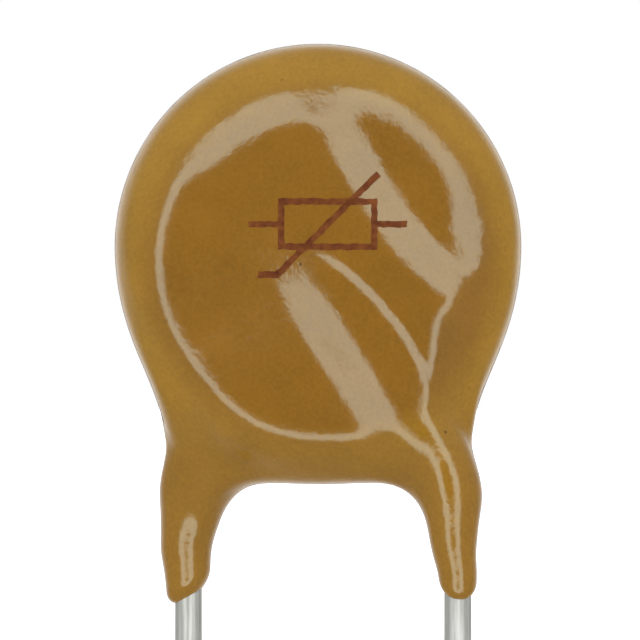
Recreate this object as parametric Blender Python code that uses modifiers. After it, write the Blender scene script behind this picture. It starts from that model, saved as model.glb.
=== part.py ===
"""Resettable fuse: a polymer PTC chip between two foils, with two crossed wire leads and a dipped epoxy coat.

Metres, +Z up. The origin is midway between the leads, level with the lower end of the coat, where
the part meets its circuit board. The front face looks along -Y. The front lead is the leg at +X,
and the rear lead is the same formed wire turned half a turn about Z.
"""

import math

import bmesh
import bpy
import numpy as np
from mathutils import Matrix, Vector

# Chip: a disc of conductive polymer, punched together with the foil on each face
CHIP_DIAMETER = 0.0065
CHIP_THICKNESS = 0.0010
CHIP_HEIGHT = 0.00638
FOIL_THICKNESS = 0.00004
BOND_GAP = 0.00001

# Leads: tinned wire. Each lies flat on its own face of the chip, so the two legs stand in two planes.
LEAD_DIAMETER = 0.00051
LEAD_PITCH = 0.0051
LEAD_LENGTH = 0.0076
LEAD_CROSSING_ANGLE = math.radians(31.5)
LEAD_OFF_CENTRE = 0.0002
LEAD_OVERRUN = 0.0018
BEND_RADIUS = 0.0035
BEND_STEPS = 6

# Solder: a low mound along each lead, with a film between wire and foil
SOLDER_FILM = 0.00006
SOLDER_LENGTH = 0.0040
SOLDER_WIDTH = 0.0011
SOLDER_HEIGHT = 0.00038
SOLDER_SEGMENTS = 24
SOLDER_RINGS = 16

# Bumps below are centred on an angle in degrees from +X. Each has a half width in degrees, a power
# that squares its sides, and what it adds there.

# Coat round the chip's rim: a full round edge. It has run a little upwards and to the rear lead's
# side, sags below, and has a tongue on each face towards that face's leg.
COAT_AT_RIM = 0.0006
COAT_RISE = 0.00034
COAT_SHIFT = -0.000083
RIM_ROUND = 0.00155
RIM_ROUND_STARTS_OVER = 0.0003
RIM_BLEND = 0.00035
SAG_BUMPS = ((-90, 32, 4, 0.00038),)
TONGUE_BUMPS = ((-61, 13, 2, 0.0005),)
TONGUE_DEPTHS = (0.0001, 0.0008)

# Coat on each face: a plate round the chip's axis, with a bevel inside its edge and a fall outside it
COAT_OVER_FOIL = 0.00055
PLATE_RADIUS = 0.00315
PLATE_BUMPS = (
    (90, 35, 4, 0.00008),
    (-90, 45, 2, 0.00019),
    (8, 30, 2, -0.00018),
    (-26, 20, 2, -0.0007),
    (-57.5, 7.5, 2, 0.00125),
)
PLATE_EDGE = 0.00025
PLATE_FALL = 0.43
BEVEL_BUMPS = ((112, 38, 4, 0.00065), (45, 45, 4, 0.0004), (12, 14, 2, 0.0003))
BEVEL_SLOPE = 0.215
BEVEL_EDGE = 0.0003
BEVEL_SWELL = 0.00017
BEVEL_SWELL_WIDTH = 0.0002

# Relief on the plate, where coat has piled up over the wire. Near is the side of the low left flank.
PILE_HEIGHT = 0.000165
NEAR_FLANK = (-0.00117, -0.00041)
NEAR_FLANK_FADES = (-0.0017, 0.0017)
FAR_FLANK = 0.0014
FAR_FLANK_HALF_WIDTH = 0.00036
FAR_FLANK_BENDS_AT = 0.0006
FAR_FLANK_BEND_EDGE = 0.0004
FAR_FLANK_CURVE = 90
FAR_FLANK_FADES = (0.0012, 0.0029)
FAR_FLANK_FADE = 0.6
FLANK_EDGE = 0.35
RUN_LINE = 0.00045
RUN_LINE_MIDDLE = -0.002
RUN_LINE_CURVE = -100
RUN_LINE_HALF_WIDTH = 0.00016
RUN_LINE_STEP = 0.00004
RUN_LINE_FADES = (-0.0009, 0.0003)

# Web between the legs: it leans from the front leg to the rear leg, is thickest part of the way up,
# and fills the necks beside the disc
WEB_DEPTH = 0.0009
WEB_HEIGHT = 0.0026
WEB_OUTSIDE_LEAD = 0.00028
WEB_FOOT_HALF = 0.00035
WEB_WEDGE = 0.42
WEB_FULL_AT = 0.00075
WEB_FULL_EDGE = 0.0005
WEB_TAPER = 0.35
WEB_TAPERS_AT = 0.0012
WEB_TAPER_EDGE = 0.0005
WEB_LEAN = 0.75
WEB_LEAN_FADES = (0.0001, 0.0022)
WEB_EDGE = 0.0012
WEB_FOOT_EDGE = 0.0006
WEB_BLEND = 0.0007
NECK_BLEND = 0.00175
NECK_FROM_MIDDLE = (0.0023, 0.0031)
NECK_DEPTHS = (0.0004, 0.0011)

# Sleeves down the legs. Each step is from one height to another, and what the wall gains over it.
SLEEVE_END_WALL = 0.00007
SLEEVE_WIDENS = (0.0001, 0.0016, 0.0002)
SLEEVE_THINS = (0.0019, 0.0042, -0.00017)
SLEEVE_STEP_EDGE = 0.2
SLEEVE_BLEND = 0.0019
OUTER_BLEND = 0.0005
OUTER_BLEND_FROM = (0.0019, 0.0031)
RIDGE_BLEND = 0.00012
BLEND_NARROWS = (0.0016, 0.004)
SHIFT_GROWS = (0.0003, 0.0012)
SLANT_FADES = (0.0006, 0.0026)

# Each sleeve's own end: its height, its shift outwards, and the slant of its end outwards and to its face
FRONT_SLEEVE = (0.00016, -0.00006, 0.1, 0.5)
REAR_SLEEVE = (0.00011, 0.0, 0.3, 0.0)

# Fineness
CHIP_SEGMENTS = 64
LEAD_BEVEL_RESOLUTION = 6
SHARP_FROM = math.radians(40)
WELD = 1e-7
TIP_ROUNDING = 0.00005
BLANK_SLEEVE_WALL = 0.00012
BLANK_WEB_THICKNESS = 0.0009
COAT_FACET = 0.0002
SETTLING_ROUNDS = 6
SETTLING_SHARE = 0.5
NEWTON_STEPS = 8
LEAST_STEEPNESS = 0.25
PROBE = 1e-7

# Sizes that follow from those above
CHIP_RADIUS = CHIP_DIAMETER / 2
LEAD_RADIUS = LEAD_DIAMETER / 2
LEAD_X = LEAD_PITCH / 2
FOIL_INNER = CHIP_THICKNESS / 2 + BOND_GAP
FOIL_OUTER = FOIL_INNER + FOIL_THICKNESS
SOLDER_INNER = FOIL_OUTER + BOND_GAP
LEAD_DEPTH = SOLDER_INNER + SOLDER_FILM + BOND_GAP + LEAD_RADIUS
CHIP_CENTRE = Vector((0, 0, CHIP_HEIGHT))
BODY_RADIUS = CHIP_RADIUS + COAT_AT_RIM
BODY_CENTRE = Vector((COAT_SHIFT, 0, CHIP_HEIGHT + COAT_RISE))
WEB_BOTTOM = CHIP_HEIGHT - CHIP_RADIUS - WEB_DEPTH
HALF_TURN = Matrix.Rotation(math.pi, 4, "Z")
ALONG_Y = Matrix.Rotation(math.pi / 2, 4, "X")

COLOURS = {
    "epoxy": ((0.285, 0.135, 0.014, 1), 0.0, 0.18),
    "polymer": ((0.012, 0.012, 0.013, 1), 0.0, 0.6),
    "nickel": ((0.58, 0.55, 0.50, 1), 1.0, 0.35),
    "tin": ((0.62, 0.62, 0.60, 1), 1.0, 0.28),
    "solder": ((0.50, 0.50, 0.50, 1), 1.0, 0.4),
}


def clear_scene():
    for obj in list(bpy.data.objects):
        bpy.data.objects.remove(obj, do_unlink=True)


def new_collection(name, helper=False):
    collection = bpy.data.collections.new(name)
    collection.hide_render = helper
    bpy.context.scene.collection.children.link(collection)
    return collection


def material(name):
    colour, metallic, roughness = COLOURS[name]
    made = bpy.data.materials.get(name) or bpy.data.materials.new(name)
    made.use_nodes = True
    shader = made.node_tree.nodes["Principled BSDF"]
    shader.inputs["Base Color"].default_value = colour
    shader.inputs["Metallic"].default_value = metallic
    shader.inputs["Roughness"].default_value = roughness
    made.diffuse_color = colour
    return made


def add_object(name, mesh, collection, finish=None):
    obj = bpy.data.objects.new(name, mesh)
    collection.objects.link(obj)
    if finish:
        mesh.materials.clear()
        mesh.materials.append(material(finish))
    else:
        obj.hide_render = True
        obj.display_type = "WIRE"
    return obj


def evaluated_mesh(obj):
    """The object's mesh as its modifiers leave it, in world space, with loose caps welded. The object goes."""
    graph = bpy.context.evaluated_depsgraph_get()
    mesh = bpy.data.meshes.new_from_object(obj.evaluated_get(graph))
    mesh.transform(obj.matrix_world)
    bm = bmesh.new()
    bm.from_mesh(mesh)
    bmesh.ops.remove_doubles(bm, verts=bm.verts, dist=WELD)
    bm.to_mesh(mesh)
    bm.free()
    bpy.data.objects.remove(obj, do_unlink=True)
    return mesh


def cut(obj, *cutters):
    for cutter in cutters:
        modifier = obj.modifiers.new("cut_" + cutter.name, "BOOLEAN")
        modifier.operation = "DIFFERENCE"
        modifier.solver = "EXACT"
        modifier.object = cutter


def turned_half(obj, name, collection):
    """A second piece with the same mesh, turned half a turn about Z."""
    twin = obj.copy()
    twin.name = name
    twin.matrix_world = HALF_TURN @ obj.matrix_world
    collection.objects.link(twin)
    return twin


def disc_mesh(name, radius, low, high):
    """A disc about the chip's axis, from depth low to depth high along Y."""
    bm = bmesh.new()
    bmesh.ops.create_cone(
        bm,
        cap_ends=True,
        segments=CHIP_SEGMENTS,
        radius1=radius,
        radius2=radius,
        depth=high - low,
        matrix=Matrix.Translation(CHIP_CENTRE + Vector((0, (low + high) / 2, 0))) @ ALONG_Y,
    )
    mesh = bpy.data.meshes.new(name)
    bm.to_mesh(mesh)
    bm.free()
    mesh.shade_smooth()
    mesh.set_sharp_from_angle(angle=SHARP_FROM)
    return mesh


def lead_corners():
    """The corners of the front lead: the cut end, the bend, and the end on the chip."""
    run = Vector((-math.sin(LEAD_CROSSING_ANGLE), 0, math.cos(LEAD_CROSSING_ANGLE)))
    over_chip = CHIP_CENTRE + Vector((LEAD_OFF_CENTRE, -LEAD_DEPTH, 0))
    bend_height = CHIP_HEIGHT - (LEAD_X - LEAD_OFF_CENTRE) / math.tan(LEAD_CROSSING_ANGLE)
    return [
        Vector((LEAD_X, -LEAD_DEPTH, -LEAD_LENGTH)),
        Vector((LEAD_X, -LEAD_DEPTH, bend_height)),
        over_chip + run * LEAD_OVERRUN,
    ]


def bend_arms():
    """Centre of the front lead's bend, and the arms from it to the lower and upper ends of the arc."""
    reach = BEND_RADIUS * math.tan(LEAD_CROSSING_ANGLE / 2)
    start = lead_corners()[1] - Vector((0, 0, reach))
    arm = Vector((BEND_RADIUS, 0, 0))
    return start - arm, arm, Matrix.Rotation(-LEAD_CROSSING_ANGLE, 3, "Y") @ arm


def lead_path(longer_by=0, low_end=-LEAD_LENGTH):
    """The front lead's centreline as points, with a rounded bend."""
    tip, corner, end = lead_corners()
    tip.z = low_end
    end = end + (end - corner).normalized() * longer_by
    centre, arm = bend_arms()[:2]
    turns = [-LEAD_CROSSING_ANGLE * step / BEND_STEPS for step in range(BEND_STEPS + 1)]
    return [tip, *(centre + Matrix.Rotation(turn, 3, "Y") @ arm for turn in turns), end]


def lead_tube(name, radius, longer_by=0, low_end=-LEAD_LENGTH):
    curve = bpy.data.curves.new(name, "CURVE")
    curve.dimensions = "3D"
    curve.bevel_depth = radius
    curve.bevel_resolution = LEAD_BEVEL_RESOLUTION
    curve.use_fill_caps = True
    points = lead_path(longer_by, low_end)
    spline = curve.splines.new("POLY")
    spline.points.add(len(points) - 1)
    for place, point in zip(spline.points, points):
        place.co = (*point, 1)
    obj = bpy.data.objects.new(name, curve)
    bpy.context.scene.collection.objects.link(obj)
    bpy.context.view_layer.update()
    return evaluated_mesh(obj)


def solder_mound(name, grown_by=0):
    """An ellipsoid laid along the lead. The foil's face cuts it flat, and a grown one reaches into the chip."""
    corner, end = lead_corners()[1:]
    middle = end + (corner - end).normalized() * (SOLDER_LENGTH / 2)
    foot = Vector((middle.x, -SOLDER_INNER, middle.z))
    turn = Matrix.Rotation(-LEAD_CROSSING_ANGLE, 4, "Y")
    size = Matrix.Diagonal(
        (
            SOLDER_WIDTH / 2 + grown_by,
            SOLDER_HEIGHT + grown_by,
            SOLDER_LENGTH / 2 + grown_by,
            1,
        )
    )
    bm = bmesh.new()
    bmesh.ops.create_uvsphere(
        bm,
        u_segments=SOLDER_SEGMENTS,
        v_segments=SOLDER_RINGS,
        radius=1,
        matrix=Matrix.Translation(foot) @ turn @ size,
    )
    if not grown_by:
        cut_off = bmesh.ops.bisect_plane(
            bm,
            geom=bm.verts[:] + bm.edges[:] + bm.faces[:],
            plane_co=foot,
            plane_no=(0, 1, 0),
            clear_outer=True,
        )
        rim = [item for item in cut_off["geom_cut"] if isinstance(item, bmesh.types.BMEdge)]
        bmesh.ops.contextual_create(bm, geom=rim)
    mesh = bpy.data.meshes.new(name)
    bm.to_mesh(mesh)
    bm.free()
    return mesh


def run_together(first, second, width):
    """The union of two distances, with the corner between them filled as a liquid fills it."""
    close = np.maximum(width - np.abs(first - second), 0) / width
    return np.minimum(first, second) - close**3 * width / 6


def held_within(first, second, width):
    """What two distances share, with the edge between them rounded."""
    return -run_together(-first, -second, width)


def eased(value, low, high):
    """0 below low, 1 above high, and a smooth step between."""
    share = np.clip((value - low) / (high - low), 0, 1)
    return share**3 * (share * (share * 6 - 15) + 10)


def ramp(value, low, high, edge):
    """0 below low, 1 above high, and an even slope between, rounded at both ends."""
    share = (value - low) / (high - low)
    return held_within(run_together(share, 1.0, edge), 0.0, edge)


def bumps(degrees, rows):
    """Sum of the bumps at each angle."""
    total = np.zeros(len(degrees))
    for middle, half_width, power, gain in rows:
        off = (degrees - middle + 180) % 360 - 180
        total += gain * np.exp(-(np.abs(off / half_width) ** power))
    return total


def nearest_on_line(points, start, end):
    start = np.array(start)
    run = np.array(end) - start
    share = np.clip((points - start) @ run / (run @ run), 0, 1)
    return start + share[:, None] * run


def nearest_on_bend(points):
    centre = np.array(bend_arms()[0])
    spoke = points - centre
    turn = np.clip(np.arctan2(spoke[:, 2], spoke[:, 0]), 0, LEAD_CROSSING_ANGLE)
    return centre + BEND_RADIUS * np.stack([np.cos(turn), np.zeros(len(turn)), np.sin(turn)], axis=1)


def sleeve_distance(points, end_height, shift, slant_out, slant_to_face):
    """Distance to the front lead's own coat: a sleeve up the leg, and a thin skin over the chip."""
    end_radius = LEAD_RADIUS + SLEEVE_END_WALL
    drop = math.sqrt(end_radius**2 - (LEAD_RADIUS + BOND_GAP) ** 2)
    tip, corner, end = lead_corners()
    tip.z = end_height + drop
    centre, arm, upper_arm = bend_arms()
    low_down = 1 - eased(points[:, 2], *SLANT_FADES)
    slant = slant_out * (points[:, 0] - LEAD_X) - slant_to_face * (points[:, 1] + LEAD_DEPTH)
    placed = points.copy()
    placed[:, 0] -= shift * low_down * eased(points[:, 2], *SHIFT_GROWS)
    placed[:, 2] += slant * low_down
    off = np.full(len(points), np.inf)
    height = np.zeros(len(points))
    for place in (
        nearest_on_line(placed, tip, centre + arm),
        nearest_on_bend(placed),
        nearest_on_line(placed, centre + upper_arm, end),
    ):
        away = np.linalg.norm(placed - place, axis=1)
        height = np.where(away < off, place[:, 2], height)
        off = np.minimum(off, away)
    wall = np.full(len(points), SLEEVE_END_WALL)
    for low, high, gain in (SLEEVE_WIDENS, SLEEVE_THINS):
        wall += gain * ramp(height, low, high, SLEEVE_STEP_EDGE)
    return off - LEAD_RADIUS - wall


def face_height(points, from_axis, plate, bevel):
    """Depth of the front plate's skin from the chip's middle: the pile over the wire and the bevel."""
    sine, cosine = math.sin(LEAD_CROSSING_ANGLE), math.cos(LEAD_CROSSING_ANGLE)
    x, z = points[:, 0] - LEAD_OFF_CENTRE, points[:, 2] - CHIP_HEIGHT
    across, along = x * cosine + z * sine, z * cosine - x * sine
    near = 1 - (1 - ramp(across, *NEAR_FLANK, FLANK_EDGE)) * (1 - eased(along, *NEAR_FLANK_FADES))
    bent = held_within(FAR_FLANK_BENDS_AT - along, 0.0, FAR_FLANK_BEND_EDGE)
    past_far = across - FAR_FLANK - FAR_FLANK_CURVE * bent**2
    far = ramp(past_far, -FAR_FLANK_HALF_WIDTH, FAR_FLANK_HALF_WIDTH, FLANK_EDGE)
    pile = near * (1 - far * (1 - FAR_FLANK_FADE * eased(along, *FAR_FLANK_FADES)))
    past_line = across - RUN_LINE - RUN_LINE_CURVE * (along - RUN_LINE_MIDDLE) ** 2
    step = 1 - eased(past_line, -RUN_LINE_HALF_WIDTH, RUN_LINE_HALF_WIDTH)
    step *= eased(-along, *RUN_LINE_FADES)
    fall = BEVEL_SLOPE * held_within(from_axis - plate + bevel, 0.0, BEVEL_EDGE)
    fall += (PLATE_FALL - BEVEL_SLOPE) * held_within(from_axis - plate, 0.0, PLATE_EDGE)
    return FOIL_OUTER + COAT_OVER_FOIL + pile * (PILE_HEIGHT + RUN_LINE_STEP * step) - fall


def face_distance(points, from_axis):
    """How far the points stand out of the front plate's skin."""
    degrees = np.degrees(np.arctan2(points[:, 2] - CHIP_HEIGHT, points[:, 0]))
    bevel = bumps(degrees, BEVEL_BUMPS)
    plate = PLATE_RADIUS + bumps(degrees, PLATE_BUMPS)
    plate += BEVEL_SWELL * (1 - np.exp(-((bevel / BEVEL_SWELL_WIDTH) ** 2)))
    return -points[:, 1] - face_height(points, from_axis, plate, bevel)


def disc_distance(points):
    """Distance to the coated disc: a full round rim, cut by the skin of each face."""
    x, z = points[:, 0] - BODY_CENTRE.x, points[:, 2] - BODY_CENTRE.z
    degrees = np.degrees(np.arctan2(z, x))
    reach = BODY_RADIUS + bumps(degrees, SAG_BUMPS)
    for seen, depth in ((degrees, -points[:, 1]), (180 - degrees, points[:, 1])):
        reach += bumps(seen, TONGUE_BUMPS) * eased(depth, *TONGUE_DEPTHS)
    past_flat = held_within(np.hypot(x, z) - reach + RIM_ROUND, 0.0, RIM_ROUND_STARTS_OVER)
    disc = np.hypot(past_flat, points[:, 1]) - RIM_ROUND
    from_axis = np.hypot(points[:, 0], points[:, 2] - CHIP_HEIGHT)
    for seen in (points, points * (-1, -1, 1)):
        disc = held_within(disc, face_distance(seen, from_axis), RIM_BLEND)
    return disc


def web_distance(points):
    """Distance to the coat between the legs."""
    above = points[:, 2] - WEB_BOTTOM
    lean = -WEB_LEAN * LEAD_DEPTH / LEAD_X * points[:, 0] * (1 - eased(above, *WEB_LEAN_FADES))
    half = WEB_FOOT_HALF + WEB_WEDGE * run_together(above, WEB_FULL_AT, WEB_FULL_EDGE)
    half -= WEB_TAPER * held_within(above - WEB_TAPERS_AT, 0.0, WEB_TAPER_EDGE)
    off_middle = np.hypot(points[:, 1] - lean, TIP_ROUNDING) - half
    sideways = np.abs(points[:, 0] - COAT_SHIFT) - LEAD_X - WEB_OUTSIDE_LEAD
    web = held_within(sideways, off_middle, WEB_EDGE)
    web = held_within(web, -above, WEB_FOOT_EDGE)
    return held_within(web, above - WEB_HEIGHT, WEB_EDGE)


def coat_distance(points):
    """Distance to the wet coat's surface: disc, web and sleeves run together."""
    neck = eased(np.abs(points[:, 0] - COAT_SHIFT), *NECK_FROM_MIDDLE)
    neck *= 1 - eased(np.abs(points[:, 1]), *NECK_DEPTHS)
    blend = WEB_BLEND + (NECK_BLEND - WEB_BLEND) * neck
    coat = run_together(disc_distance(points), web_distance(points), blend)
    for seen, sleeve in ((points, FRONT_SLEEVE), (points * (-1, -1, 1), REAR_SLEEVE)):
        blend = SLEEVE_BLEND + (OUTER_BLEND - SLEEVE_BLEND) * eased(seen[:, 0], *OUTER_BLEND_FROM)
        blend += (RIDGE_BLEND - blend) * eased(seen[:, 2], *BLEND_NARROWS)
        coat = run_together(coat, sleeve_distance(seen, *sleeve), blend)
    return coat


def drawn_onto_coat(points):
    """Each point moved to the nearest place on the coat's surface."""
    for _ in range(NEWTON_STEPS):
        here = coat_distance(points)
        slope = np.empty_like(points)
        for axis in range(3):
            step = np.zeros(3)
            step[axis] = PROBE
            slope[:, axis] = (coat_distance(points + step) - here) / PROBE
        steepness = np.maximum((slope * slope).sum(axis=1), LEAST_STEEPNESS)
        points = points - slope * (here / steepness)[:, None]
    return points


def coat_blank():
    """Overlapping plain solids near the coat's shape: disc, leaning web and two sleeved wires."""
    low, high = WEB_BOTTOM, BODY_CENTRE.z
    bm = bmesh.new()
    bm.from_mesh(disc_mesh("coat_disc", BODY_RADIUS, -LEAD_DEPTH, LEAD_DEPTH))
    lean = Matrix.Rotation(-math.atan(WEB_LEAN * LEAD_DEPTH / LEAD_X), 4, "Z")
    slab = Matrix.Diagonal((LEAD_PITCH, BLANK_WEB_THICKNESS, high - low, 1))
    bmesh.ops.create_cube(bm, size=1, matrix=Matrix.Translation((0, 0, (low + high) / 2)) @ lean @ slab)
    sleeve = lead_tube("sleeve", LEAD_RADIUS + BLANK_SLEEVE_WALL, BLANK_SLEEVE_WALL, SLEEVE_END_WALL)
    bm.from_mesh(sleeve)
    sleeve.transform(HALF_TURN)
    bm.from_mesh(sleeve)
    mesh = bpy.data.meshes.new("coat_blank")
    bm.to_mesh(mesh)
    bm.free()
    return mesh


def coat_mesh(helpers):
    """The blank in even facets, drawn onto the coat's surface. Settling evens them out between draws."""
    blank = add_object("coat_blank", coat_blank(), helpers)
    skin = blank.modifiers.new("one_skin", "REMESH")
    skin.mode = "VOXEL"
    skin.voxel_size = COAT_FACET
    bpy.context.view_layer.update()
    mesh = evaluated_mesh(blank)
    mesh.name = "epoxy_coat"
    bm = bmesh.new()
    bm.from_mesh(mesh)
    for _ in range(SETTLING_ROUNDS):
        bmesh.ops.smooth_vert(
            bm, verts=bm.verts, factor=SETTLING_SHARE, use_axis_x=True, use_axis_y=True, use_axis_z=True
        )
        points = drawn_onto_coat(np.array([vert.co for vert in bm.verts]))
        for vert, point in zip(bm.verts, points):
            vert.co = point
    bmesh.ops.triangulate(bm, faces=bm.faces)
    bm.to_mesh(mesh)
    bm.free()
    mesh.shade_smooth()
    return mesh


def build():
    clear_scene()
    fuse = new_collection("resettable_fuse")
    helpers = new_collection("cutters", helper=True)

    chip = disc_mesh("ptc_chip", CHIP_RADIUS, -CHIP_THICKNESS / 2, CHIP_THICKNESS / 2)
    add_object("ptc_chip", chip, fuse, "polymer")
    foil = disc_mesh("electrode_foil", CHIP_RADIUS, -FOIL_OUTER, -FOIL_INNER)
    front_foil = add_object("front_electrode_foil", foil, fuse, "nickel")
    turned_half(front_foil, "rear_electrode_foil", fuse)

    lead = lead_tube("lead_wire", LEAD_RADIUS)
    lead.shade_smooth()
    lead.set_sharp_from_angle(angle=SHARP_FROM)
    front_lead = add_object("front_lead", lead, fuse, "tin")
    turned_half(front_lead, "rear_lead", fuse)

    lead_room = lead_tube("lead_room", LEAD_RADIUS + BOND_GAP, longer_by=BOND_GAP)
    front_lead_room = add_object("front_lead_room", lead_room, helpers)
    rear_lead_room = turned_half(front_lead_room, "rear_lead_room", helpers)
    solder_room = solder_mound("solder_room", grown_by=BOND_GAP)
    front_solder_room = add_object("front_solder_room", solder_room, helpers)
    rear_solder_room = turned_half(front_solder_room, "rear_solder_room", helpers)
    inner = FOIL_OUTER + BOND_GAP
    chip_room = disc_mesh("chip_room", CHIP_RADIUS + BOND_GAP, -inner, inner)
    chip_room = add_object("chip_room", chip_room, helpers)

    solder = solder_mound("solder_mound")
    front_solder = add_object("front_solder_joint", solder, fuse, "solder")
    cut(front_solder, front_lead_room)
    rear_solder = turned_half(front_solder, "rear_solder_joint", fuse)
    rear_solder.modifiers[0].object = rear_lead_room

    coat = add_object("epoxy_coat", coat_mesh(helpers), fuse, "epoxy")
    cut(coat, chip_room, front_solder_room, rear_solder_room, front_lead_room, rear_lead_room)


build()
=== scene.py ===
"""Looks for a resettable fuse: a glossy dipped epoxy coat on a round chip, with two tinned wire leads.

Metres, +Z up, front face along -Y. The coat's surface is one formula, the same liquid skin over disc,
web and wires that the CAD node has. It has finer facets, and its sleeves and web differ from the node's
by about 0.1 mm.
"""

import math

import bmesh
import bpy
import numpy as np
from mathutils import Matrix, Vector
from mathutils.noise import noise_vector, seed_set


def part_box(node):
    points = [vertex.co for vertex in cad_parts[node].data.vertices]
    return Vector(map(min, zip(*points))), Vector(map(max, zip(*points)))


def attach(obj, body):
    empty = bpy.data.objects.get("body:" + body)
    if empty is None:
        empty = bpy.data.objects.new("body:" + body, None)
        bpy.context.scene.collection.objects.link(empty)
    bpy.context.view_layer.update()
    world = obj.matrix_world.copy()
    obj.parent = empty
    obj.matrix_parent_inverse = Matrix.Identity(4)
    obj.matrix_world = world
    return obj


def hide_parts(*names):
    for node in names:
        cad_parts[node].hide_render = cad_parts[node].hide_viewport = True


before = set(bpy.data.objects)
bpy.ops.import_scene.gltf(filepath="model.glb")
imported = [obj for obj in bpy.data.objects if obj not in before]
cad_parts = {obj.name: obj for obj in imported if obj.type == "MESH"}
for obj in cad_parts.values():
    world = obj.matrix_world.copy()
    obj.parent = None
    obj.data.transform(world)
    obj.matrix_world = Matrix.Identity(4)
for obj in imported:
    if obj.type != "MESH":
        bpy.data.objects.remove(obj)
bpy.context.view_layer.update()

MM = 0.001

# Read from the frame
CHIP_LOW, CHIP_HIGH = (Vector(corner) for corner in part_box("ptc_chip"))
FOIL_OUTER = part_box("rear_electrode_foil")[1][1]
LEAD_LOW, LEAD_HIGH = (Vector(corner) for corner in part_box("front_lead"))
CHIP_CENTRE = (CHIP_LOW + CHIP_HIGH) / 2
CHIP_HEIGHT = CHIP_CENTRE.z
CHIP_RADIUS = (CHIP_HIGH.x - CHIP_LOW.x) / 2

# Leads: the same formed wire as the CAD nodes
LEAD_RADIUS = 0.255 * MM
LEAD_X = LEAD_HIGH.x - LEAD_RADIUS
LEAD_DEPTH = -LEAD_LOW.y - LEAD_RADIUS
LEAD_CROSSING_ANGLE = math.radians(31.5)
LEAD_OFF_CENTRE = 0.2 * MM
LEAD_OVERRUN = 1.8 * MM
BOND_GAP = 0.01 * MM
BEND_RADIUS = 3.5 * MM
BEND_STEPS = 16
LEAD_SIDES = 48

# Bumps below are centred on an angle in degrees from +X. Each has a half width in degrees, a power
# that squares its sides, and what it adds there.

# Coat round the chip's rim: a full round edge. It has run a little upwards and to the rear lead's
# side, sags below, and has a tongue on each face towards that face's leg.
COAT_AT_RIM = 0.6 * MM
COAT_RISE = 0.34 * MM
COAT_SHIFT = -0.083 * MM
RIM_ROUND = 1.55 * MM
RIM_ROUND_STARTS_OVER = 0.3 * MM
RIM_BLEND = 0.35 * MM
SAG_BUMPS = ((-90, 32, 4, 0.38 * MM),)
TONGUE_BUMPS = ((-61, 13, 2, 0.5 * MM),)
TONGUE_DEPTHS = (0.1 * MM, 0.8 * MM)

# Coat on each face: a plate round the chip's axis, with a bevel inside its edge and a fall outside it
COAT_OVER_FOIL = 0.55 * MM
PLATE_RADIUS = 3.15 * MM
PLATE_BUMPS = (
    (90, 35, 4, 0.08 * MM),
    (-90, 45, 2, 0.19 * MM),
    (8, 30, 2, -0.18 * MM),
    (-26, 20, 2, -0.7 * MM),
    (-57.5, 7.5, 2, 1.25 * MM),
)
PLATE_EDGE = 0.25 * MM
PLATE_FALL = 0.43
BEVEL_BUMPS = ((112, 38, 4, 0.65 * MM), (45, 45, 4, 0.4 * MM), (12, 14, 2, 0.3 * MM))
BEVEL_SLOPE = 0.215
BEVEL_EDGE = 0.3 * MM
BEVEL_SWELL = 0.17 * MM
BEVEL_SWELL_WIDTH = 0.2 * MM

# Relief on the plate, where coat has piled up over the wire. Near is the side of the low left flank.
PILE_HEIGHT = 0.165 * MM
NEAR_FLANK = (-1.17 * MM, -0.41 * MM)
NEAR_FLANK_FADES = (-1.9 * MM, 2.6 * MM)
FAR_FLANK = 1.4 * MM
FAR_FLANK_HALF_WIDTH = 0.36 * MM
FAR_FLANK_BENDS_AT = 0.6 * MM
FAR_FLANK_BEND_EDGE = 0.4 * MM
FAR_FLANK_CURVE = 90
FAR_FLANK_FADES = (1.2 * MM, 2.9 * MM)
FAR_FLANK_FADE = 0.6
FLANK_EDGE = 0.35
RUN_LINE = 0.45 * MM
RUN_LINE_MIDDLE = -2 * MM
RUN_LINE_CURVE = -100
RUN_LINE_HALF_WIDTH = 0.16 * MM
RUN_LINE_STEP = 0.04 * MM
RUN_LINE_FADES = (-0.9 * MM, 0.3 * MM)

# Web between the legs: it leans from the front leg to the rear leg, is thickest part of the way up,
# and fills the necks beside the disc
WEB_DEPTH = 0.81 * MM
WEB_HEIGHT = 2.6 * MM
WEB_OUTSIDE_LEAD = 0.28 * MM
WEB_FOOT_HALF = 0.35 * MM
WEB_WEDGE = 0.42
WEB_FULL_AT = 0.75 * MM
WEB_FULL_EDGE = 0.5 * MM
WEB_TAPER = 0.35
WEB_TAPERS_AT = 1.2 * MM
WEB_TAPER_EDGE = 0.5 * MM
WEB_LEAN = 0.6
WEB_LEAN_FADES = (0.1 * MM, 2.2 * MM)
WEB_EDGE = 1.2 * MM
WEB_FOOT_EDGE = 0.6 * MM
WEB_BLEND = 1 * MM
NECK_BLEND = 1.8 * MM
NECK_FROM_MIDDLE = (2.3 * MM, 3.1 * MM)
NECK_DEPTHS = (0.4 * MM, 1.1 * MM)

# Sleeves down the legs. Each step is from one height to another, and what the wall gains over it. The
# rear sleeve's thicker wall comes down to the front one's over SLEEVES_MATCH.
SLEEVE_WIDENS = (0.1 * MM, 1.2 * MM, 0.1 * MM)
SLEEVE_THINS = (1.9 * MM, 4.2 * MM, -0.17 * MM)
SLEEVES_MATCH = (1.9 * MM, 4.2 * MM)
SLEEVE_STEP_EDGE = 0.2
SLEEVE_BLEND = 2.2 * MM
OUTER_BLEND = 1.32 * MM
OUTER_BLEND_FROM = (1.9 * MM, 3.1 * MM)
RIDGE_BLEND = 0.12 * MM
BLEND_NARROWS = (1.6 * MM, 4 * MM)
SHIFT_GROWS = (0.3 * MM, 1.2 * MM)
SLANT_FADES = (0.6 * MM, 2.6 * MM)

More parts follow.
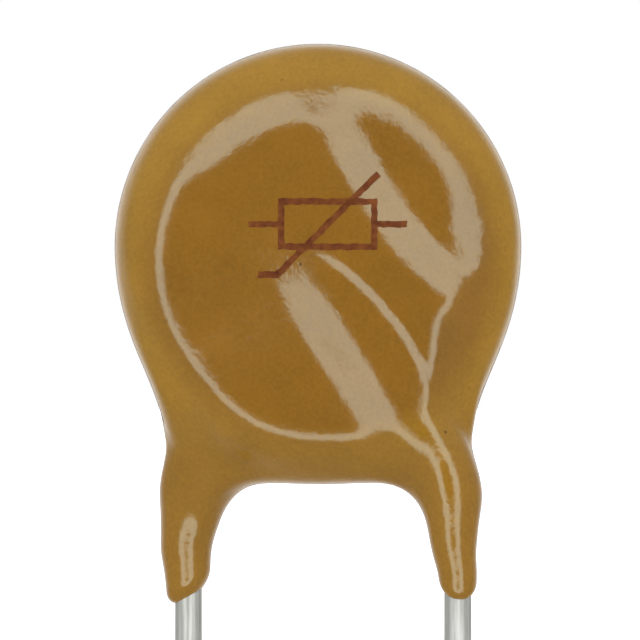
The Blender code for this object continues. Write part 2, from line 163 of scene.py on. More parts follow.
# Each sleeve's own end: its wall, its height, its shift outwards, and its slant outwards and to its face
FRONT_SLEEVE = (0.07 * MM, 0.28 * MM, -0.07 * MM, 0.1, 0.5)
REAR_SLEEVE = (0.14 * MM, 0.13 * MM, 0.04 * MM, 0.55, 0.0)

# Fineness
SHARP_FROM = math.radians(50)
TIP_ROUNDING = 0.05 * MM
BLANK_SLEEVE_WALL = 0.12 * MM
BLANK_SLEEVE_END = 0.07 * MM
BLANK_WEB_THICKNESS = 0.9 * MM
BLANK_SEGMENTS = 96
COAT_FACETS = (0.1 * MM, 0.055 * MM)
SETTLING_ROUNDS = 3
SETTLING_SHARE = 0.5
NEWTON_STEPS = 6
LEAST_STEEPNESS = 0.25
PROBE = 1e-7

# Places that follow from those above
BODY_RADIUS = CHIP_RADIUS + COAT_AT_RIM
BODY_CENTRE = Vector((COAT_SHIFT, 0, CHIP_HEIGHT + COAT_RISE))
WEB_BOTTOM = CHIP_LOW.z - WEB_DEPTH
HALF_TURN = Matrix.Rotation(math.pi, 4, "Z")
ALONG_Y = Matrix.Rotation(math.pi / 2, 4, "X")

# Print: a plain circuit symbol for a resistor that changes with heat, in brown ink
INK_STROKE = 0.12 * MM
INK_DEPTH = 0.004 * MM
INK_GRID = 0.03 * MM
INK_MARCH = 40

# A stamped stroke has slightly ragged edges: how far they stray, and over what length
INK_RAGGEDNESS = 0.02 * MM
INK_TOOTH = 0.11 * MM
INK_SEED = 7  # without one, Blender starts its noise from the clock
SYMBOL_CENTRE = (0.1 * MM, 7.14 * MM)
SYMBOL_BOX = (1.75 * MM, 0.85 * MM)
SYMBOL_WIRE = 0.62 * MM
SYMBOL_SLANT = (0.95 * MM, 0.95 * MM)
SYMBOL_FOOT = 0.36 * MM

# Real sizes of the patterns in the finishes
EPOXY_CLOUD = 1.3 * MM
EPOXY_GRAIN = 0.07 * MM
EPOXY_PINHOLE_SPACING = 0.8 * MM
EPOXY_PEEL = 0.35 * MM
EPOXY_PEEL_DEPTH = 0.01 * MM
EPOXY_GRAIN_IN_PEEL = 0.28
INK_PATCH = 0.16 * MM
INK_RELIEF = 0.006 * MM
WIRE_STREAK = 0.07 * MM
WIRE_STREAK_DEPTH = 0.006 * MM
WIRE_STREAK_STRETCH = (1, 1, 0.04)
INNER_RELIEF = 0.01 * MM

# Camera and stage. The photograph's frame is 12.12 mm wide at the part
PIXELS_PER_MM = 52.8
FRAME_WIDTH = 640 / PIXELS_PER_MM * MM
VIEW_CENTRE = Vector((-0.045 * MM, 0, 5.34 * MM))
CAMERA_DISTANCE = 150 * MM
SENSOR = 36
CLIP = (1 * MM, 10)
LAMP_DISTANCE = 170 * MM
LAMP_GAP = 1 * MM
LAMP_RADIUS = 115 * MM
FLAG_DISTANCE = 160 * MM
FLAG_RADIUS = 43 * MM
FLAG_SIDES = 64
LAMP_POWER = 0.24
SHEEN_LAMP_POWER = 0.42
WORLD_LIGHT = 0.74
ROOM_LEVEL = 0.31
CEILING_LEVEL = 0.5


def linear(code):
    """An sRGB hex colour as linear RGBA."""
    channels = [int(code[place : place + 2], 16) / 255 for place in (0, 2, 4)]
    return (*[c / 12.92 if c <= 0.04045 else ((c + 0.055) / 1.055) ** 2.4 for c in channels], 1)


def new_material(name):
    made = bpy.data.materials.new(name)
    made.use_nodes = True
    made.node_tree.nodes.clear()
    return made, made.node_tree


def add_node(tree, kind, settings=None, links=None):
    """One node with its settings, plain values and incoming links. Names are properties or input sockets."""
    made = tree.nodes.new("ShaderNode" + kind)
    for key, value in (settings or {}).items():
        if isinstance(key, str) and hasattr(made, key):
            setattr(made, key, value)
        else:
            made.inputs[key].default_value = value
    for key, socket in (links or {}).items():
        tree.links.new(socket, made.inputs[key])
    return made


def linked_mesh(name, mesh, material, body="root"):
    obj = bpy.data.objects.new(name, mesh)
    bpy.context.scene.collection.objects.link(obj)
    obj.data.materials.clear()
    obj.data.materials.append(material)
    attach(obj, body)
    return obj


# Wire


def lead_corners():
    """The corners of the front lead: the cut end, the bend, and the end on the chip."""
    run = Vector((-math.sin(LEAD_CROSSING_ANGLE), 0, math.cos(LEAD_CROSSING_ANGLE)))
    over_chip = CHIP_CENTRE + Vector((LEAD_OFF_CENTRE, -LEAD_DEPTH, 0))
    bend_height = CHIP_HEIGHT - (LEAD_X - LEAD_OFF_CENTRE) / math.tan(LEAD_CROSSING_ANGLE)
    return [
        Vector((LEAD_X, -LEAD_DEPTH, LEAD_LOW.z)),
        Vector((LEAD_X, -LEAD_DEPTH, bend_height)),
        over_chip + run * LEAD_OVERRUN,
    ]


def bend_arms():
    """Centre of the front lead's bend, and the arms from it to the lower and upper ends of the arc."""
    reach = BEND_RADIUS * math.tan(LEAD_CROSSING_ANGLE / 2)
    start = lead_corners()[1] - Vector((0, 0, reach))
    arm = Vector((BEND_RADIUS, 0, 0))
    return start - arm, arm, Matrix.Rotation(-LEAD_CROSSING_ANGLE, 3, "Y") @ arm


def formed_wire(name, radius, low_end, overrun=0.0):
    """A round wire: a ring extruded up the leg, spun round the bend and extruded over the chip."""
    tip, corner, end = lead_corners()
    tip.z = low_end
    end = end + (end - corner).normalized() * overrun
    centre, arm, upper_arm = bend_arms()
    bm = bmesh.new()
    bmesh.ops.create_circle(
        bm, cap_ends=False, radius=radius, segments=LEAD_SIDES, matrix=Matrix.Translation(tip)
    )
    ring = extruded(bm, bm.edges[:], centre + arm - tip)
    spun = bmesh.ops.spin(
        bm,
        geom=ring,
        cent=centre,
        axis=(0, -1, 0),
        dvec=(0, 0, 0),
        angle=LEAD_CROSSING_ANGLE,
        steps=BEND_STEPS,
    )
    ring = [item for item in spun["geom_last"] if isinstance(item, bmesh.types.BMEdge)]
    extruded(bm, ring, end - centre - upper_arm)
    bmesh.ops.holes_fill(bm, edges=[edge for edge in bm.edges if edge.is_boundary], sides=0)
    bmesh.ops.recalc_face_normals(bm, faces=bm.faces)
    mesh = bpy.data.meshes.new(name)
    bm.to_mesh(mesh)
    bm.free()
    mesh.shade_smooth()
    mesh.set_sharp_from_angle(angle=SHARP_FROM)
    return mesh


def extruded(bm, ring, move):
    made = bmesh.ops.extrude_edge_only(bm, edges=ring)["geom"]
    verts = [item for item in made if isinstance(item, bmesh.types.BMVert)]
    bmesh.ops.translate(bm, verts=verts, vec=move)
    return [edge for edge in made if isinstance(edge, bmesh.types.BMEdge) and edge.is_boundary]


# Coat surface


def run_together(first, second, width):
    """The union of two distances, with the corner between them filled as a liquid fills it."""
    close = np.maximum(width - np.abs(first - second), 0) / width
    return np.minimum(first, second) - close**3 * width / 6


def held_within(first, second, width):
    """What two distances share, with the edge between them rounded."""
    return -run_together(-first, -second, width)


def eased(value, low, high):
    """0 below low, 1 above high, and a smooth step between."""
    share = np.clip((value - low) / (high - low), 0, 1)
    return share**3 * (share * (share * 6 - 15) + 10)


def ramp(value, low, high, edge):
    """0 below low, 1 above high, and an even slope between, rounded at both ends."""
    share = (value - low) / (high - low)
    return held_within(run_together(share, 1.0, edge), 0.0, edge)


def bumps(degrees, rows):
    """Sum of the bumps at each angle."""
    total = np.zeros(len(degrees))
    for middle, half_width, power, gain in rows:
        off = (degrees - middle + 180) % 360 - 180
        total += gain * np.exp(-(np.abs(off / half_width) ** power))
    return total


def nearest_on_line(points, start, end):
    start = np.array(start)
    run = np.array(end) - start
    share = np.clip((points - start) @ run / (run @ run), 0, 1)
    return start + share[:, None] * run


def nearest_on_bend(points):
    centre = np.array(bend_arms()[0])
    spoke = points - centre
    turn = np.clip(np.arctan2(spoke[:, 2], spoke[:, 0]), 0, LEAD_CROSSING_ANGLE)
    return centre + BEND_RADIUS * np.stack([np.cos(turn), np.zeros(len(turn)), np.sin(turn)], axis=1)


def sleeve_distance(points, end_wall, end_height, shift, slant_out, slant_to_face):
    """Distance to the front lead's own coat: a sleeve up the leg, and a thin skin over the chip."""
    end_radius = LEAD_RADIUS + end_wall
    drop = math.sqrt(end_radius**2 - (LEAD_RADIUS + BOND_GAP) ** 2)
    tip, corner, end = lead_corners()
    tip.z = end_height + drop
    centre, arm, upper_arm = bend_arms()
    low_down = 1 - eased(points[:, 2], *SLANT_FADES)
    slant = slant_out * (points[:, 0] - LEAD_X) - slant_to_face * (points[:, 1] + LEAD_DEPTH)
    placed = points.copy()
    placed[:, 0] -= shift * low_down * eased(points[:, 2], *SHIFT_GROWS)
    placed[:, 2] += slant * low_down
    off = np.full(len(points), np.inf)
    height = np.zeros(len(points))
    for place in (
        nearest_on_line(placed, tip, centre + arm),
        nearest_on_bend(placed),
        nearest_on_line(placed, centre + upper_arm, end),
    ):
        away = np.linalg.norm(placed - place, axis=1)
        height = np.where(away < off, place[:, 2], height)
        off = np.minimum(off, away)
    wall = end_wall + (FRONT_SLEEVE[0] - end_wall) * ramp(height, *SLEEVES_MATCH, SLEEVE_STEP_EDGE)
    for low, high, gain in (SLEEVE_WIDENS, SLEEVE_THINS):
        wall += gain * ramp(height, low, high, SLEEVE_STEP_EDGE)
    return off - LEAD_RADIUS - wall


def face_height(points, from_axis, plate, bevel):
    """Depth of the front plate's skin from the chip's middle: the pile over the wire and the bevel."""
    sine, cosine = math.sin(LEAD_CROSSING_ANGLE), math.cos(LEAD_CROSSING_ANGLE)
    x, z = points[:, 0] - LEAD_OFF_CENTRE, points[:, 2] - CHIP_HEIGHT
    across, along = x * cosine + z * sine, z * cosine - x * sine
    near = 1 - (1 - ramp(across, *NEAR_FLANK, FLANK_EDGE)) * (1 - eased(along, *NEAR_FLANK_FADES))
    bent = held_within(FAR_FLANK_BENDS_AT - along, 0.0, FAR_FLANK_BEND_EDGE)
    past_far = across - FAR_FLANK - FAR_FLANK_CURVE * bent**2
    far = ramp(past_far, -FAR_FLANK_HALF_WIDTH, FAR_FLANK_HALF_WIDTH, FLANK_EDGE)
    pile = near * (1 - far * (1 - FAR_FLANK_FADE * eased(along, *FAR_FLANK_FADES)))
    past_line = across - RUN_LINE - RUN_LINE_CURVE * (along - RUN_LINE_MIDDLE) ** 2
    step = 1 - eased(past_line, -RUN_LINE_HALF_WIDTH, RUN_LINE_HALF_WIDTH)
    step *= eased(-along, *RUN_LINE_FADES)
    fall = BEVEL_SLOPE * held_within(from_axis - plate + bevel, 0.0, BEVEL_EDGE)
    fall += (PLATE_FALL - BEVEL_SLOPE) * held_within(from_axis - plate, 0.0, PLATE_EDGE)
    return FOIL_OUTER + COAT_OVER_FOIL + pile * (PILE_HEIGHT + RUN_LINE_STEP * step) - fall


def face_distance(points, from_axis):
    """How far the points stand out of the front plate's skin."""
    degrees = np.degrees(np.arctan2(points[:, 2] - CHIP_HEIGHT, points[:, 0]))
    bevel = bumps(degrees, BEVEL_BUMPS)
    plate = PLATE_RADIUS + bumps(degrees, PLATE_BUMPS)
    plate += BEVEL_SWELL * (1 - np.exp(-((bevel / BEVEL_SWELL_WIDTH) ** 2)))
    return -points[:, 1] - face_height(points, from_axis, plate, bevel)


def disc_distance(points):
    """Distance to the coated disc: a full round rim, cut by the skin of each face."""
    x, z = points[:, 0] - BODY_CENTRE.x, points[:, 2] - BODY_CENTRE.z
    degrees = np.degrees(np.arctan2(z, x))
    reach = BODY_RADIUS + bumps(degrees, SAG_BUMPS)
    for seen, depth in ((degrees, -points[:, 1]), (180 - degrees, points[:, 1])):
        reach += bumps(seen, TONGUE_BUMPS) * eased(depth, *TONGUE_DEPTHS)
    past_flat = held_within(np.hypot(x, z) - reach + RIM_ROUND, 0.0, RIM_ROUND_STARTS_OVER)
    disc = np.hypot(past_flat, points[:, 1]) - RIM_ROUND
    from_axis = np.hypot(points[:, 0], points[:, 2] - CHIP_HEIGHT)
    for seen in (points, points * (-1, -1, 1)):
        disc = held_within(disc, face_distance(seen, from_axis), RIM_BLEND)
    return disc


def web_distance(points):
    """Distance to the coat between the legs."""
    above = points[:, 2] - WEB_BOTTOM
    lean = -WEB_LEAN * LEAD_DEPTH / LEAD_X * points[:, 0] * (1 - eased(above, *WEB_LEAN_FADES))
    half = WEB_FOOT_HALF + WEB_WEDGE * run_together(above, WEB_FULL_AT, WEB_FULL_EDGE)
    half -= WEB_TAPER * held_within(above - WEB_TAPERS_AT, 0.0, WEB_TAPER_EDGE)
    off_middle = np.hypot(points[:, 1] - lean, TIP_ROUNDING) - half
    sideways = np.abs(points[:, 0] - COAT_SHIFT) - LEAD_X - WEB_OUTSIDE_LEAD
    web = held_within(sideways, off_middle, WEB_EDGE)
    web = held_within(web, -above, WEB_FOOT_EDGE)
    return held_within(web, above - WEB_HEIGHT, WEB_EDGE)


def coat_distance(points):
    """Distance to the wet coat's surface: disc, web and sleeves run together."""
    neck = eased(np.abs(points[:, 0] - COAT_SHIFT), *NECK_FROM_MIDDLE)
    neck *= 1 - eased(np.abs(points[:, 1]), *NECK_DEPTHS)
    blend = WEB_BLEND + (NECK_BLEND - WEB_BLEND) * neck
    coat = run_together(disc_distance(points), web_distance(points), blend)
    for seen, sleeve in ((points, FRONT_SLEEVE), (points * (-1, -1, 1), REAR_SLEEVE)):
        blend = SLEEVE_BLEND + (OUTER_BLEND - SLEEVE_BLEND) * eased(seen[:, 0], *OUTER_BLEND_FROM)
        blend += (RIDGE_BLEND - blend) * eased(seen[:, 2], *BLEND_NARROWS)
        coat = run_together(coat, sleeve_distance(seen, *sleeve), blend)
    return coat


def drawn_onto_coat(points):
    """Each point moved to the nearest place on the coat's surface."""
    for _ in range(NEWTON_STEPS):
        here = coat_distance(points)
        slope = np.empty_like(points)
        for axis in range(3):
            step = np.zeros(3)
            step[axis] = PROBE
            slope[:, axis] = (coat_distance(points + step) - here) / PROBE
        steepness = np.maximum((slope * slope).sum(axis=1), LEAST_STEEPNESS)
        points = points - slope * (here / steepness)[:, None]
    return points


def vertex_places(mesh):
    places = np.empty(len(mesh.vertices) * 3, dtype=np.float32)
    mesh.vertices.foreach_get("co", places)
    return places.reshape(-1, 3).astype(float)


def coat_blank():
    """Overlapping plain solids near the coat's shape: disc, leaning web and two sleeved wires."""
    low, high = WEB_BOTTOM, BODY_CENTRE.z
    bm = bmesh.new()
    bmesh.ops.create_cone(
        bm,
        cap_ends=True,
        segments=BLANK_SEGMENTS,
        radius1=BODY_RADIUS,
        radius2=BODY_RADIUS,
        depth=2 * LEAD_DEPTH,
        matrix=Matrix.Translation(BODY_CENTRE) @ ALONG_Y,
    )
    lean = Matrix.Rotation(-math.atan(WEB_LEAN * LEAD_DEPTH / LEAD_X), 4, "Z")
    slab = Matrix.Diagonal((2 * LEAD_X, BLANK_WEB_THICKNESS, high - low, 1))
    bmesh.ops.create_cube(bm, size=1, matrix=Matrix.Translation((0, 0, (low + high) / 2)) @ lean @ slab)
    sleeve = formed_wire("sleeve", LEAD_RADIUS + BLANK_SLEEVE_WALL, BLANK_SLEEVE_END, BLANK_SLEEVE_WALL)
    bm.from_mesh(sleeve)
    sleeve.transform(HALF_TURN)
    bm.from_mesh(sleeve)
    mesh = bpy.data.meshes.new("coat_blank")
    bm.to_mesh(mesh)
    bm.free()
    bpy.data.meshes.remove(sleeve)
    return mesh


def in_even_facets(mesh, facet):
    """The outer skin of a mesh, in facets of about one size."""
    solid = bpy.data.objects.new("skinned", mesh)
    bpy.context.scene.collection.objects.link(solid)
    skin = solid.modifiers.new("one_skin", "REMESH")
    skin.mode = "VOXEL"
    skin.voxel_size = facet
    bpy.context.view_layer.update()
    graph = bpy.context.evaluated_depsgraph_get()
    skinned = bpy.data.meshes.new_from_object(solid.evaluated_get(graph))
    bpy.data.objects.remove(solid, do_unlink=True)
    bpy.data.meshes.remove(mesh)
    return skinned


def coat_mesh():
    """The blank drawn onto the coat's surface, first in coarse facets and then in fine ones."""
    mesh = coat_blank()
    for facet in COAT_FACETS:
        mesh = in_even_facets(mesh, facet)
        bm = bmesh.new()
        bm.from_mesh(mesh)
        for _ in range(SETTLING_ROUNDS):
            bmesh.ops.smooth_vert(
                bm, verts=bm.verts, factor=SETTLING_SHARE, use_axis_x=True, use_axis_y=True, use_axis_z=True
            )
            bm.to_mesh(mesh)
            for vert, place in zip(bm.verts, drawn_onto_coat(vertex_places(mesh))):
                vert.co = place
        bm.to_mesh(mesh)
        bm.free()
    mesh.name = "dipped_coat"
    mesh.shade_smooth()
    return mesh


# Print


def stroke(bm, start, end):
    """One inked stroke, drawn flat as a fine grid from start to end in X and Z."""
    start, end = Vector((start[0], 0, start[1])), Vector((end[0], 0, end[1]))
    run = end - start
    turn = Matrix.Rotation(math.atan2(run.x, run.z), 4, "Y")
    size = Matrix.Diagonal((INK_STROKE / 2, run.length / 2, 1, 1))
    bmesh.ops.create_grid(
        bm,
        x_segments=round(INK_STROKE / INK_GRID),
        y_segments=round(run.length / INK_GRID),
        size=1,
        matrix=Matrix.Translation((start + end) / 2) @ turn @ ALONG_Y @ size,
    )


def symbol_print():
    """Ink laid on the front face: each stroke drawn onto the coat and given a little thickness."""
    x, z = SYMBOL_CENTRE
    wide, high = SYMBOL_BOX[0] / 2, SYMBOL_BOX[1] / 2
    over, rise = SYMBOL_SLANT
    overlap = INK_STROKE / 2
    bm = bmesh.new()
    for side in (-1, 1):
        stroke(bm, (x - wide - overlap, z + side * high), (x + wide + overlap, z + side * high))
        stroke(bm, (x + side * wide, z - high + overlap), (x + side * wide, z + high - overlap))
        stroke(bm, (x + side * (wide + overlap), z), (x + side * (wide + SYMBOL_WIRE), z))
    stroke(bm, (x - over, z - rise), (x + over, z + rise))
    stroke(bm, (x - over - SYMBOL_FOOT, z - rise), (x - over + overlap / 2, z - rise))
    seed_set(INK_SEED)
    for vert in bm.verts:
        vert.co += INK_RAGGEDNESS * noise_vector(vert.co / INK_TOOTH)
    places = np.array([vert.co for vert in bm.verts])
    places[:, 1] = -FOIL_OUTER - COAT_OVER_FOIL - 2 * PILE_HEIGHT
    for _ in range(INK_MARCH):
        places[:, 1] += np.maximum(coat_distance(places), 0)
    for vert, place in zip(bm.verts, places):
        vert.co = place
    bmesh.ops.translate(bm, verts=bm.verts, vec=(0, -INK_DEPTH, 0))
    skin = bm.faces[:]
    bmesh.ops.solidify(bm, geom=skin, thickness=2 * INK_DEPTH)
    bmesh.ops.recalc_face_normals(bm, faces=bm.faces)
    mesh = bpy.data.meshes.new("printed_symbol")
    bm.to_mesh(mesh)
    bm.free()
    mesh.shade_smooth()
    mesh.set_sharp_from_angle(angle=SHARP_FROM)
    return mesh


# Materials


def epoxy():
    """Pigmented epoxy, dipped and baked: opaque ochre with a soft gloss, its colour painted paler towards the
    rim and less so low down, as painted light for the rim's steep sides.

    It sets with a slight peel, which makes the edges of its highlights uneven, and a few pinholes stay where
    bubbles broke, drawn as dark dots of painted shade.
    """
    made, tree = new_material("dipped_ochre_epoxy")
    place = add_node(tree, "TexCoord").outputs["Object"]
    over_chip = add_node(tree, "VectorMath", {"operation": "MULTIPLY", 1: (1, 0, 1)}, {0: place})
    from_axis = add_node(
        tree,
        "VectorMath",
        {"operation": "DISTANCE", 1: (0, 0, CHIP_HEIGHT)},
        {0: over_chip.outputs["Vector"]},
    )
    # Painted light: the colour grows paler towards the rim's round edge, less so low down, standing in for
    # light that the rim's steep sides get too little of from the lamps.
    at_rim = add_node(
        tree,
        "MapRange",
        {
            "interpolation_type": "SMOOTHSTEP",
            "From Min": CHIP_RADIUS - 0.3 * MM,
            "From Max": CHIP_RADIUS + 0.4 * MM,
        },
        {"Value": from_axis.outputs["Value"]},
    )
    high_up = add_node(
        tree,
        "MapRange",
        {"From Min": CHIP_LOW.z - 0.6 * MM, "From Max": CHIP_LOW.z + 1.4 * MM, "To Min": 0.45},
        {"Value": add_node(tree, "SeparateXYZ", None, {"Vector": place}).outputs["Z"]},
    )
    painted_rim_light = add_node(
        tree, "Math", {"operation": "MULTIPLY"}, {0: at_rim.outputs["Result"], 1: high_up.outputs["Result"]}
    )
    body = add_node(
        tree,
        "Mix",
        {"data_type": "RGBA", 6: linear("8F631D"), 7: linear("A67A22")},
        {0: painted_rim_light.outputs[0]},
    )
    clouds = add_node(
        tree, "TexNoise", {"Scale": 1 / EPOXY_CLOUD, "Detail": 4, "Roughness": 0.6}, {"Vector": place}
    )
    grain = add_node(
        tree, "TexNoise", {"Scale": 1 / EPOXY_GRAIN, "Detail": 2, "Roughness": 0.6}, {"Vector": place}
    )
    both = add_node(tree, "Math", {"operation": "ADD"}, {0: clouds.outputs["Fac"], 1: grain.outputs["Fac"]})
    shade = add_node(
        tree,
        "MapRange",
        {"From Min": 0.6, "From Max": 1.4, "To Min": 0.82, "To Max": 1.18},
        {"Value": both.outputs[0]},
    )
    clouded = add_node(
        tree, "VectorMath", {"operation": "SCALE"}, {0: body.outputs[2], "Scale": shade.outputs["Result"]}
    )
    # Painted shade: dark dots where bubbles broke, for the shade inside pinholes that the mesh gives no
    # depth.
    pores = add_node(
        tree, "TexVoronoi", {"Scale": 1 / EPOXY_PINHOLE_SPACING, "Randomness": 1.0}, {"Vector": place}
    )
    pinhole = add_node(
        tree,
        "MapRange",
        {"From Min": 0.02, "From Max": 0.05, "To Min": 1.0, "To Max": 0.0},
        {"Value": pores.outputs["Distance"]},
    )
    with_pinhole_shade = add_node(
        tree,
        "Mix",
        {"data_type": "RGBA", 7: linear("5A3C12")},
        {0: pinhole.outputs["Result"], 6: clouded.outputs["Vector"]},
    )
    peel = add_node(tree, "TexNoise", {"Scale": 1 / EPOXY_PEEL, "Detail": 2}, {"Vector": place})
    skin = add_node(
        tree,
        "Math",
        {"operation": "MULTIPLY_ADD", 1: EPOXY_GRAIN_IN_PEEL},
        {0: grain.outputs["Fac"], 2: peel.outputs["Fac"]},
    )
    bump = add_node(
        tree,
        "Bump",
        {"Strength": 1.0, "Distance": EPOXY_PEEL_DEPTH},
        {"Height": skin.outputs[0]},
    )
    shader = add_node(
        tree,
        "BsdfPrincipled",
        {"Roughness": 0.15, "IOR": 1.6, "Specular Tint": (0.8, 1.0, 0.9, 1)},
        {"Base Color": with_pinhole_shade.outputs[2], "Normal": bump.outputs["Normal"]},
    )
    add_node(tree, "OutputMaterial", None, {"Surface": shader.outputs["BSDF"]})
    return made


def brown_ink():
    """Epoxy marking ink, stamped on and baked: patchy brown, dull even where the coat shines."""
    made, tree = new_material("baked_brown_ink")
    place = add_node(tree, "TexCoord").outputs["Object"]
    patches = add_node(tree, "TexNoise", {"Scale": 1 / INK_PATCH, "Detail": 4}, {"Vector": place})
    thin = add_node(
        tree, "MapRange", {"From Min": 0.35, "From Max": 0.65}, {"Value": patches.outputs["Fac"]}
    )
    colour = add_node(
        tree,
        "Mix",
        {"data_type": "RGBA", 6: linear("5E2A06"), 7: linear("7E4416")},
        {0: thin.outputs["Result"]},
    )
    bump = add_node(
        tree, "Bump", {"Strength": 0.5, "Distance": INK_RELIEF}, {"Height": patches.outputs["Fac"]}
    )
    shader = add_node(
        tree,
        "BsdfPrincipled",
        {"Roughness": 0.45, "IOR": 1.3, "Specular IOR Level": 0.2},
        {"Base Color": colour.outputs[2], "Normal": bump.outputs["Normal"]},
    )
    add_node(tree, "OutputMaterial", None, {"Surface": shader.outputs["BSDF"]})
    return made


def tinned_wire():
    """Hot-tinned wire, wiped through a die: a dull, light grey with brighter streaks along its length."""
    made, tree = new_material("tinned_wire")
    place = add_node(tree, "TexCoord").outputs["Object"]
    stretch = add_node(tree, "Mapping", {"Scale": WIRE_STREAK_STRETCH}, {"Vector": place})
    lines = add_node(
        tree, "TexNoise", {"Scale": 1 / WIRE_STREAK, "Detail": 3}, {"Vector": stretch.outputs["Vector"]}
    )
    streaks = add_node(
        tree, "MapRange", {"From Min": 0.35, "From Max": 0.68}, {"Value": lines.outputs["Fac"]}
    )
    colour = add_node(
        tree,
        "Mix",
        {"data_type": "RGBA", 6: linear("AEAFA9"), 7: linear("D2D3CF")},
        {0: streaks.outputs["Result"]},
    )
    rough = add_node(tree, "MapRange", {"To Min": 0.8, "To Max": 0.6}, {"Value": streaks.outputs["Result"]})
    bump = add_node(
        tree, "Bump", {"Strength": 0.3, "Distance": WIRE_STREAK_DEPTH}, {"Height": streaks.outputs["Result"]}
    )
    shader = add_node(
        tree,
        "BsdfPrincipled",
        {"Metallic": 0.75},
        {
            "Base Color": colour.outputs[2],
            "Roughness": rough.outputs["Result"],
            "Normal": bump.outputs["Normal"],
        },
    )
    add_node(tree, "OutputMaterial", None, {"Surface": shader.outputs["BSDF"]})
    return made


def grained(name, dark, light, grain, metallic, roughness):
    """A plain inner finish with its own grain: two close colours mixed by noise of a real size."""
    made, tree = new_material(name)
    place = add_node(tree, "TexCoord").outputs["Object"]
    mottle = add_node(tree, "TexNoise", {"Scale": 1 / grain, "Detail": 3}, {"Vector": place})
    colour = add_node(
        tree,
        "Mix",
        {"data_type": "RGBA", 6: linear(dark), 7: linear(light)},
        {0: mottle.outputs["Fac"]},
    )
    bump = add_node(
        tree, "Bump", {"Strength": 0.2, "Distance": INNER_RELIEF}, {"Height": mottle.outputs["Fac"]}
    )
    shader = add_node(
        tree,
        "BsdfPrincipled",
        {"Metallic": metallic, "Roughness": roughness},
        {"Base Color": colour.outputs[2], "Normal": bump.outputs["Normal"]},
    )
    add_node(tree, "OutputMaterial", None, {"Surface": shader.outputs["BSDF"]})
    return made


# Stage


def backdrop_material():
    """White paper, bright to the camera and in reflections, that still takes the object's shadow."""
    made, tree = new_material("white_paper")
    ray = add_node(tree, "LightPath")
    seen = add_node(
        tree,
        "Math",
        {"operation": "MAXIMUM"},
        {0: ray.outputs["Is Camera Ray"], 1: ray.outputs["Is Glossy Ray"]},
    )
    seen = add_node(
        tree, "Math", {"operation": "MAXIMUM"}, {0: seen.outputs[0], 1: ray.outputs["Is Transmission Ray"]}
    )
    shade = add_node(tree, "BsdfDiffuse", {"Color": linear("E7E7E7")})
    glow_strength = add_node(tree, "MapRange", {"To Min": 0.0, "To Max": 0.88}, {"Value": seen.outputs[0]})
    glow = add_node(
        tree, "Emission", {"Color": linear("FFFFFF")}, {"Strength": glow_strength.outputs["Result"]}
    )
    both = add_node(tree, "AddShader", None, {0: shade.outputs[0], 1: glow.outputs[0]})
    add_node(tree, "OutputMaterial", None, {"Surface": both.outputs[0]})
    return made


def stage_floor():
    bm = bmesh.new()
    bmesh.ops.create_grid(
        bm, x_segments=1, y_segments=1, size=1.0, matrix=Matrix.Translation((0, 0, LEAD_LOW.z))
    )
    mesh = bpy.data.meshes.new("floor")
    bm.to_mesh(mesh)
    bm.free()
    floor = bpy.data.objects.new("floor", mesh)
    bpy.context.scene.collection.objects.link(floor)
    floor.visible_glossy = False
    floor.visible_shadow = False
    mesh.materials.append(backdrop_material())


def white_world():
    """A white studio: pure white behind the part, dimmer round the camera, and soft light from all sides."""
    world = bpy.data.worlds.new("studio")
    bpy.context.scene.world = world
    world.use_nodes = True
    tree = world.node_tree
    tree.nodes.clear()
    ray = add_node(tree, "LightPath")
    seen = add_node(
        tree,
        "Math",
        {"operation": "MAXIMUM"},
        {0: ray.outputs["Is Camera Ray"], 1: ray.outputs["Is Transmission Ray"]},
    )
    towards = add_node(tree, "SeparateXYZ", None, {"Vector": add_node(tree, "TexCoord").outputs["Generated"]})
    ceiling = add_node(
        tree, "MapRange", {"To Min": ROOM_LEVEL, "To Max": CEILING_LEVEL}, {"Value": towards.outputs["Z"]}
    )
    room = add_node(
        tree,
        "MapRange",
        {"From Min": 0.3, "From Max": 0.85, "To Max": 1.0},
        {"Value": towards.outputs["Y"], "To Min": ceiling.outputs["Result"]},
    )
    unseen = add_node(
        tree, "Mix", {2: WORLD_LIGHT}, {0: ray.outputs["Is Glossy Ray"], 3: room.outputs["Result"]}
    )
    strength = add_node(tree, "Math", {"operation": "MAXIMUM"}, {0: seen.outputs[0], 1: unseen.outputs[0]})
    light = add_node(tree, "Background", {"Color": linear("FFFFFF")}, {"Strength": strength.outputs[0]})
    add_node(tree, "OutputWorld", None, {"Surface": light.outputs["Background"]})


def ring_light(name, side, distance, power):
    """A round softbox square on to one face."""
    data = bpy.data.lights.new(name, "AREA")
    data.shape = "DISK"
    data.size = 2 * LAMP_RADIUS
    data.energy = power
    lamp = bpy.data.objects.new(name, data)
    lamp.location = VIEW_CENTRE + Vector((0, side * distance, 0))
    lamp.rotation_euler = (-side * math.pi / 2, 0, 0)
    lamp.visible_camera = False
    bpy.context.scene.collection.objects.link(lamp)
    return lamp


def lamp_flag(name, side):
    """A black disc before the middle of a softbox."""
    bm = bmesh.new()
    place = Matrix.Translation(VIEW_CENTRE + Vector((0, side * FLAG_DISTANCE, 0)))
    bmesh.ops.create_circle(
        bm, cap_ends=True, segments=FLAG_SIDES, radius=FLAG_RADIUS, matrix=place @ ALONG_Y
    )
    mesh = bpy.data.meshes.new(name)
    bm.to_mesh(mesh)
    bm.free()
    flag = bpy.data.objects.new(name, mesh)
    bpy.context.scene.collection.objects.link(flag)
    flag.visible_camera = False
    mesh.materials.append(flag_cloth())


def flag_cloth():
    """Black cloth on a frame: it takes nearly all the light that falls on it."""
    made, tree = new_material("black_flag_cloth")
    shade = add_node(tree, "BsdfDiffuse", {"Color": linear("060606")})
    add_node(tree, "OutputMaterial", None, {"Surface": shade.outputs[0]})
    return made


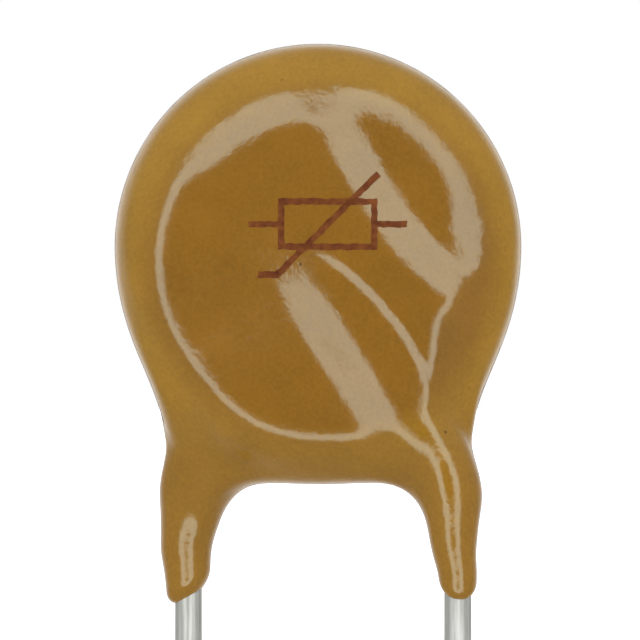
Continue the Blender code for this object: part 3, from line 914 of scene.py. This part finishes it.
def light_and_camera():
    # Two lamps light the colours and a third one only shows in the gloss. A rear lamp in the gloss
    # would whiten the outline.
    for name, side in (("front_ring", -1), ("rear_ring", 1)):
        ring_light(name, side, LAMP_DISTANCE, LAMP_POWER).visible_glossy = False
    ring_light("front_sheen", -1, LAMP_DISTANCE - LAMP_GAP, SHEEN_LAMP_POWER).visible_diffuse = False
    for name, side in (("front_flag", -1), ("rear_flag", 1)):
        lamp_flag(name, side)
    data = bpy.data.cameras.new("camera")
    data.sensor_width = SENSOR
    data.lens = SENSOR * CAMERA_DISTANCE / FRAME_WIDTH
    data.clip_start, data.clip_end = CLIP
    camera = bpy.data.objects.new("camera", data)
    camera.location = VIEW_CENTRE - Vector((0, CAMERA_DISTANCE, 0))
    camera.rotation_euler = (math.pi / 2, 0, 0)
    bpy.context.scene.collection.objects.link(camera)
    bpy.context.scene.camera = camera


def build():
    coat = linked_mesh("dipped_coat", coat_mesh(), epoxy())
    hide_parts("epoxy_coat")
    mark = linked_mesh("printed_symbol", symbol_print(), brown_ink())

    tin = tinned_wire()
    wire = formed_wire("front_wire", LEAD_RADIUS, LEAD_LOW.z)
    rear = wire.copy()
    rear.transform(HALF_TURN)
    for mesh, node in ((wire, "front_lead"), (rear, "rear_lead")):
        lead = linked_mesh(node.replace("lead", "wire"), mesh, tin)
        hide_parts(node)

    finishes = {
        "ptc_chip": grained("carbon_filled_polymer", "16161A", "242428", 0.1 * MM, 0.0, 0.6),
        "front_electrode_foil": grained("nickel_foil", "A8A49C", "C2BEB6", 0.08 * MM, 1.0, 0.35),
        "front_solder_joint": grained("solder", "8E8E8E", "B4B4B2", 0.15 * MM, 1.0, 0.4),
    }
    finishes["rear_electrode_foil"] = finishes["front_electrode_foil"]
    finishes["rear_solder_joint"] = finishes["front_solder_joint"]
    for node, finish in finishes.items():
        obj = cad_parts[node]
        obj.data.materials.clear()
        obj.data.materials.append(finish)

    stage_floor()
    white_world()
    light_and_camera()
    bpy.context.scene.view_settings.view_transform = "Standard"


build()
